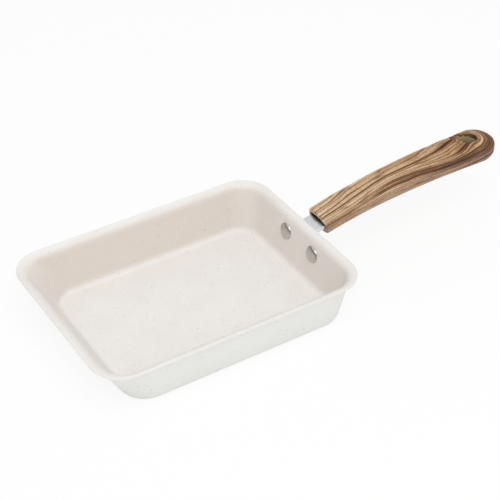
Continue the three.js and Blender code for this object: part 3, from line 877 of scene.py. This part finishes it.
def handle_grip():
    """The moulded handle. Its grain is pressed in along the surface's normals, least at the tip, and
    notches the mouth's edge. Each point keeps its grain, how bare of the print it is, in the hole and
    the socket, and its place along and across the grain."""
    piece = loft("wood_look_handle", handle_rings())
    cut(piece, loft("hanging_hole", hole_rings()), loft("screw_hole", screw_hole_rings()))
    mesh = piece.data
    points = vectors(mesh.vertices, "co") / MM
    normals = vectors(mesh.vertex_normals, "vector")
    t, up = beside_spine(points)
    along = t * HANDLE_REACH
    width, depth = (np.maximum(size, LEAST_HALF) for size in half_sizes(t))
    level, around = round_section(points[:, 1], up, width, depth)

    # The grain, and the relief it leaves
    flow = grain_flow(along, around)
    crowding = grain_crowding(along, around)
    apart = smooth(*CROWDED, crowding)
    past = smooth(*PAST_HOLE, along)
    lines, groove, beside = grain_lines(along, around, flow, crowding, apart, past)
    light, rosy = wood_tone(along, around, flow, apart, past, beside)
    sunk = np.minimum(depth * (1 - np.abs(up) / depth), width * (1 - np.abs(points[:, 1]) / width))
    sunk = sunk * smooth(*UNDER_SURFACE, level)
    at_hole = smooth(*SOCKET_TO_HOLE, along)
    printed = 1 - smooth(*PRINT_FADE, sunk)
    in_socket = smooth(*SOCKET_RELIEF, points[:, 0]) * smooth(*IN_SOCKET_RELIEF, level)
    printed = printed * (1 - in_socket * (1 - at_hole))
    deep = GROOVE_DEPTH + (MOUTH_GROOVE_DEPTH - GROOVE_DEPTH) * smooth(*DEEPER_GROOVES, along)
    pressed = printed * stages(1, PRESS_STEPS, along)
    notch = groove * smooth(*NOTCHED_EDGE, points[:, 0]) * (up > 0)
    points = points - normals * ((deep * groove + LINE_DEPTH * lines) * pressed)[:, None]
    points = points + notch[:, None] * [MOUTH_NOTCH, 0, -MOUTH_SAG]

    # The bare resin, which starts deeper on the side of the hole that is towards the tip
    bearing = np.arctan2(points[:, 1], (t - hole_share) * HANDLE_REACH)
    reach = np.maximum(BARE_LEAST, BARE_DEPTH + BARE_SWING * np.cos(bearing))
    in_socket = smooth(*SOCKET_BARE, points[:, 0]) * smooth(*IN_SOCKET, level)
    bare = smooth(reach, reach + BARE_EDGE, sunk) * at_hole + in_socket * (1 - at_hole)
    # Painted shade, over print that is dark there too: the hole's edge darkens with depth, and so does the
    # resin further down
    light = light * (1 - EDGE_SHADE * at_hole * smooth(*EDGE_SHADE_DEPTH, sunk))
    resin_light = 1 - RESIN_SHADE * smooth(*RESIN_SHADE_DEPTH, sunk)
    # In the socket this leaves no lightness, which the material turns into a very dark painted shade
    light = light * (1 - bare) + at_hole * bare * resin_light

    mesh.vertices.foreach_set("co", (placed(points, handle_origin, -TANG_CLIMB) * MM).ravel())
    mesh.update()
    mesh.set_sharp_from_angle(angle=np.radians(HANDLE_CREASE))
    keep(piece, "grain", "FLOAT_COLOR", "color", np.stack([lines * printed, light, rosy, bare], axis=-1))
    keep(piece, "flow", "FLOAT_VECTOR", "vector", np.stack([along, flow, up], axis=-1))
    return piece


def in_millimetres(tree):
    """Object coordinates in millimetres."""
    place = add(tree, "TexCoord").outputs["Object"]
    return add(tree, "VectorMath", {0: place, "Scale": 1 / MM}, operation="SCALE")


def speckled_coating():
    """Sprayed ceramic non-stick coating, baked on aluminium: a satin cream film with a faint orange
    peel and sparse brown specks, some bold and most fine. The walls inside and the front lip carry a
    warmer, darker painted shade, and the outside is a cooler white with painted light that makes it
    palest under the lip."""
    made, tree = material("sprayed_ceramic_coating")
    place = in_millimetres(tree)
    # Specks have ragged rims: their places are shifted by a noise about 0.6 mm wide
    jitter = add(tree, "TexNoise", {"Vector": place, "Scale": 1.6, "Detail": 1.0}).outputs["Color"]
    shift = add(tree, "VectorMath", {0: jitter, "Scale": 0.5}, operation="SCALE")
    moved = add(tree, "VectorMath", {0: place, 1: shift}, operation="ADD")
    # Clouds of tone and sheen about 20 mm wide
    cloud = add(tree, "TexNoise", {"Vector": place, "Scale": 1 / 20, "Detail": 3.0})
    white = add(tree, "ValToRGB", {"Fac": cloud}, stops=((0.3, "e5e5e1"), (0.7, "e8e8e4")))
    # Painted light: the outside turns paler towards the lip, against the shade under it
    height = add(tree, "SeparateXYZ", {0: place}).outputs["Z"]
    lip_painted_light = add(tree, "MapRange", {0: height, 1: 4.0, 2: 30.0})
    white = add(tree, "Mix", {0: lip_painted_light, 6: white, 7: linear("eeeeeb")}, data_type="RGBA")
    cream = add(tree, "ValToRGB", {"Fac": cloud}, stops=((0.3, "eae6e2"), (0.7, "edeae6")))
    # Painted shade: the walls inside and the front lip mix towards a darker, warmer cream
    wall = add(tree, "Attribute", attribute_name="wall").outputs["Fac"]
    cream = add(tree, "Mix", {0: wall, 6: cream, 7: linear("e0d8d0")}, data_type="RGBA")
    inside = add(tree, "Attribute", attribute_name="inside").outputs["Fac"]
    colour = add(tree, "Mix", {0: inside, 6: white, 7: cream}, data_type="RGBA")
    # Speck layers: mm between cells, share of cells that hold one, radius in mm and colour. A speck is
    # 0.55 to 1 of the radius, and its rim fades out over the last 0.4 of that.
    for cell, share, radius, tint in ((2.0, 0.72, 0.37, "bfb1a2"), (4.4, 0.4, 0.42, "9e8e7f")):
        dots = add(tree, "TexVoronoi", {"Vector": moved, "Scale": 1 / cell, "Randomness": 1.0})
        chance, growth, _ = add(tree, "SeparateColor", {0: dots.outputs["Color"]}).outputs
        least, most = 0.55 * radius / cell, radius / cell
        size = add(tree, "MapRange", {0: growth, 3: least, 4: most})
        inner = add(tree, "Math", {0: size, 1: 0.6}, operation="MULTIPLY")
        spot = add(tree, "MapRange", {0: dots.outputs["Distance"], 1: inner, 2: size, 3: 1.0, 4: 0.0})
        kept = add(tree, "Math", {0: chance, 1: share}, operation="LESS_THAN")
        mask = add(tree, "Math", {0: spot, 1: kept}, operation="MULTIPLY")
        colour = add(tree, "Mix", {0: mask, 6: colour, 7: linear(tint)}, data_type="RGBA")
    # Orange peel about 1.1 mm wide
    peel = add(tree, "TexNoise", {"Vector": place, "Scale": 0.9, "Detail": 2.0})
    bump = add(tree, "Bump", {"Strength": 0.12, "Distance": 0.12 * MM, "Height": peel})
    satin = add(tree, "MapRange", {0: cloud, 3: 0.4, 4: 0.5})
    looks = {"Base Color": colour, "Roughness": satin, "Specular IOR Level": 0.3, "Normal": bump}
    add(tree, "OutputMaterial", {"Surface": add(tree, "BsdfPrincipled", looks)})
    return made


def wood_print():
    """Phenolic moulding under a wood-grain transfer print: tan and gold wood between pressed dark
    brown lines, fine streaks and pores along the grain, a satin lacquer, and bare olive resin where
    the print ends in the hole, with painted shade deeper in it. In the socket the resin takes a very
    dark painted shade."""
    made, tree = material("wood_print_on_phenolic")
    tints = add(tree, "Attribute", attribute_name="grain")
    lines, light, rosy = add(tree, "SeparateColor", {0: tints}).outputs
    bare = tints.outputs["Alpha"]
    flow = add(tree, "Attribute", attribute_name="flow").outputs["Vector"]
    # Streaks, threads of dark grain and pores: the length, width and depth of one in mm, and its detail
    marks = []
    for length, width, depth, detail in ((14, 0.5, 5, 3.0), (45, 0.9, 10, 0.0), (1.8, 0.5, 2, 1.0)):
        sizes = (1 / length, 1 / width, 1 / depth)
        place = add(tree, "VectorMath", {0: flow, 1: sizes}, operation="MULTIPLY")
        marks.append(add(tree, "TexNoise", {"Vector": place, "Scale": 1.0, "Detail": detail}))
    streaks, threads, pores = marks
    # A thread runs where its noise crosses the middle
    off = add(tree, "Math", {0: threads, 1: 0.5}, operation="SUBTRACT")
    off = add(tree, "Math", {0: off}, operation="ABSOLUTE")
    thread = add(tree, "MapRange", {0: off, 1: 0.012, 2: 0.05, 3: 0.6, 4: 0.0})
    pore = add(tree, "MapRange", {0: pores, 1: 0.56, 2: 0.7})
    lift = add(tree, "MapRange", {0: streaks, 1: 0.3, 2: 0.7, 3: -0.17, 4: 0.17})
    tone = add(tree, "Math", {0: light, 1: lift}, operation="ADD", use_clamp=True)
    tans = ((0.0, "463024"), (1.0, "eed3b0"), (0.3, "8c6242"), (0.62, "c49e76"))
    wood = add(tree, "ValToRGB", {"Fac": tone}, stops=tans)
    pinks = ((0.0, "4a3630"), (1.0, "d2b6a0"), (0.5, "94786a"))
    pink = add(tree, "ValToRGB", {"Fac": tone}, stops=pinks)
    wood = add(tree, "Mix", {0: rosy, 6: wood, 7: pink}, data_type="RGBA")
    half_pore = add(tree, "Math", {0: pore, 1: 0.5}, operation="MULTIPLY")
    wood = add(tree, "Mix", {0: half_pore, 6: wood, 7: linear("5a3a22")}, data_type="RGBA")
    wood = add(tree, "Mix", {0: thread, 6: wood, 7: linear("5c3a1e")}, data_type="RGBA")
    brown = {0: lines, 6: wood, 7: linear("8c6640")}
    wood = add(tree, "Mix", brown, data_type="RGBA", blend_type="MULTIPLY")
    # Painted shade: the socket's cavity and the depths of the hole mix towards this very dark colour
    shade_black, olive = linear("17110d"), linear("b7a87c")
    resin = add(tree, "Mix", {0: light, 6: shade_black, 7: olive}, data_type="RGBA")
    colour = add(tree, "Mix", {0: bare, 6: wood, 7: resin}, data_type="RGBA")
    relief = add(tree, "Math", {0: streaks, 1: pore}, operation="SUBTRACT")
    bump = add(tree, "Bump", {"Strength": 0.25, "Distance": 0.15 * MM, "Height": relief})
    satin = add(tree, "MapRange", {0: tone, 3: 0.55, 4: 0.42})
    looks = {"Base Color": colour, "Roughness": satin, "Specular IOR Level": 0.15, "Normal": bump}
    add(tree, "OutputMaterial", {"Surface": add(tree, "BsdfPrincipled", looks)})
    return made


def metal(name, colours, roughness, mark, depth):
    """A bare metal whose polishing marks run along X: fine streaks, 30 times as long as wide, that vary
    its colour between the two, its roughness and its level. The mark is their width in millimetres."""
    made, tree = material(name)
    sizes = (1 / (30 * mark), 1 / mark, 1 / mark)
    drawn = add(tree, "VectorMath", {0: in_millimetres(tree), 1: sizes}, operation="MULTIPLY")
    marks = add(tree, "TexNoise", {"Vector": drawn, "Scale": 1.0, "Detail": 2.0})
    rough = add(tree, "MapRange", {0: marks, 3: roughness - 0.08, 4: roughness + 0.08})
    dark, pale = (linear(colour) for colour in colours)
    shade = add(tree, "Mix", {0: marks, 6: dark, 7: pale}, data_type="RGBA")
    bump = add(tree, "Bump", {"Strength": depth, "Distance": 0.05 * MM, "Height": marks})
    looks = {"Base Color": shade, "Metallic": 1.0, "Roughness": rough, "Normal": bump}
    add(tree, "OutputMaterial", {"Surface": add(tree, "BsdfPrincipled", looks)})
    return made


def dress(piece, node, finish):
    """Gives a new piece its finish and puts it in a CAD node's place."""
    piece.data.materials.clear()
    piece.data.materials.append(finish)
    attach(piece, "root")
    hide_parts(node)


coating = speckled_coating()
print_finish = wood_print()
stainless = metal("satin_stainless_sheet", ("cbccce", "dededf"), 0.3, 0.25, 0.2)
aluminium = metal("tumbled_aluminium", ("bab6b1", "ccc8c3"), 0.27, 0.6, 0.1)
plated = metal("zinc_plated_steel", ("9c9b96", "b4b3ae"), 0.34, 0.4, 0.15)

dress(pan_body(), "pan_body", coating)
dress(bracket(), "handle_bracket", stainless)
dress(rivet("rivet_dome_left", RIVET_SPACING / 2), "rivet_left", aluminium)
dress(rivet("rivet_dome_right", -RIVET_SPACING / 2), "rivet_right", aluminium)
dress(handle_grip(), "handle_grip", print_finish)
for fastener in ("handle_screw", "spring_washer", "tang_nut"):
    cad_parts[fastener].material_slots[0].material = plated

# Studio, in metres, and strengths of its light
SURROUND_LIGHT = 0.72
LAMP_WAY = (-0.17, -0.58, 1.0)  # from the pan towards the lamp
LAMP_DISTANCE = 1.5
LAMP_SIZE = 1.1
LAMP_WATTS = 8.5
FLOOR_HALF = 4.0
FLOOR_GLOW = 0.85

# Camera, fitted to the photograph: its turn, and its place from a point near the middle of the rim
CAMERA_AZIMUTH = -32.7187
CAMERA_ELEVATION = 37.6292
CAMERA_ROLL = 0.415
CAMERA_RIGHT = 39.779
CAMERA_UP = 12.539
CAMERA_BACK = 881.011
RIM_POINT = (0.7, 0, PAN_HEIGHT)
FOCAL_PIXELS = 1381.587
PICTURE_PIXELS = 500
SENSOR = 36
CLIP_METRES = 20


def seen_rays(tree):
    """1 for rays that show a surface, straight, mirrored or through glass, and 0 for those that carry
    its light to other things. The second value is 1 for mirrored rays alone."""
    path = add(tree, "LightPath")
    seen = path.outputs["Is Camera Ray"]
    for ray in ("Is Glossy Ray", "Is Transmission Ray"):
        both = {0: seen, 1: path.outputs[ray]}
        seen = add(tree, "Math", both, operation="ADD", use_clamp=True)
    return seen, path.outputs["Is Glossy Ray"]


def stand(holder, right, up, back, at):
    """Puts a lamp or camera into the scene at a place in metres, looking away from its back."""
    turn = np.eye(4)
    turn[:3] = np.stack([right, up, back, at], axis=-1)
    holder.matrix_world = Matrix(turn.tolist())
    bpy.context.scene.collection.objects.link(holder)


def white_surround():
    """An even surround, white to the eye and a little weaker as light. Mirrored in metal it has a grey
    band above the horizon, as the walls of a room give."""
    world = bpy.data.worlds.new("white_surround")
    world.use_nodes = True
    tree = world.node_tree
    tree.nodes.clear()
    seen, mirrored = seen_rays(tree)
    level = add(tree, "MapRange", {0: seen, 3: SURROUND_LIGHT, 4: 1.0})
    way = add(tree, "TexCoord").outputs["Generated"]
    height = add(tree, "SeparateXYZ", {0: way}).outputs["Z"]
    greys = ((0.0, "ffffff"), (0.6, "ffffff"), (0.06, "8c8c8c"), (0.36, "8c8c8c"))
    band = add(tree, "ValToRGB", {"Fac": height}, stops=greys)
    shade = add(tree, "Mix", {0: mirrored, 6: (1, 1, 1, 1), 7: band}, data_type="RGBA")
    glow = add(tree, "Background", {"Color": shade, "Strength": level})
    add(tree, "OutputWorld", {"Surface": glow})
    bpy.context.scene.world = world


def soft_box():
    """One broad round lamp above the pan and in front of it."""
    lamp = bpy.data.lights.new("soft_box", "AREA")
    lamp.shape = "DISK"
    lamp.size = LAMP_SIZE
    lamp.energy = LAMP_WATTS
    back = np.array(LAMP_WAY) / np.linalg.norm(LAMP_WAY)
    right = np.cross([0, 0, 1.0], back)
    right = right / np.linalg.norm(right)
    holder = bpy.data.objects.new("soft_box", lamp)
    stand(holder, right, np.cross(back, right), back, LAMP_DISTANCE * back)


def white_sweep():
    """A matt paper floor that stays nearly white to the eye and still takes the pan's shadow."""
    made, tree = material("white_sweep")
    seen, _ = seen_rays(tree)
    share = add(tree, "Math", {0: seen, 1: FLOOR_GLOW}, operation="MULTIPLY")
    paper = add(tree, "BsdfDiffuse", {"Color": linear("f7f7f6")})
    glow = add(tree, "Emission", {"Color": (1, 1, 1, 1), "Strength": 1.0})
    add(tree, "OutputMaterial", {"Surface": add(tree, "MixShader", {0: share, 1: paper, 2: glow})})
    mesh = bpy.data.meshes.new("studio_floor")
    corners = np.array([[-1, -1, 0], [1, -1, 0], [1, 1, 0], [-1, 1, 0]]) * FLOOR_HALF
    mesh.from_pydata(corners.tolist(), [], [(0, 1, 2, 3)])
    mesh.materials.append(made)
    floor = bpy.data.objects.new("studio_floor", mesh)
    bpy.context.scene.collection.objects.link(floor)


def photograph_camera():
    """The camera as the photograph stood: it looks along its azimuth and down its elevation, with a
    slight roll, from the place that puts the pan in the same part of the frame."""
    azimuth, elevation, roll = np.radians([CAMERA_AZIMUTH, CAMERA_ELEVATION, CAMERA_ROLL])
    back = np.array(
        [
            np.sin(azimuth) * np.cos(elevation),
            -np.cos(azimuth) * np.cos(elevation),
            np.sin(elevation),
        ]
    )
    level = np.cross(-back, [0, 0, 1])
    level = level / np.linalg.norm(level)
    rise = np.cross(level, -back)
    right = np.cos(roll) * level + np.sin(roll) * rise
    up = np.cos(roll) * rise - np.sin(roll) * level
    at = CAMERA_RIGHT * right + CAMERA_UP * up + CAMERA_BACK * back + RIM_POINT
    lens = bpy.data.cameras.new("photograph_camera")
    lens.sensor_width = SENSOR
    lens.lens = FOCAL_PIXELS / PICTURE_PIXELS * SENSOR
    lens.clip_end = CLIP_METRES
    holder = bpy.data.objects.new("photograph_camera", lens)
    stand(holder, right, up, back, at * MM)
    bpy.context.scene.camera = holder


bpy.context.scene.view_settings.view_transform = "Standard"
white_surround()
soft_box()
white_sweep()
photograph_camera()
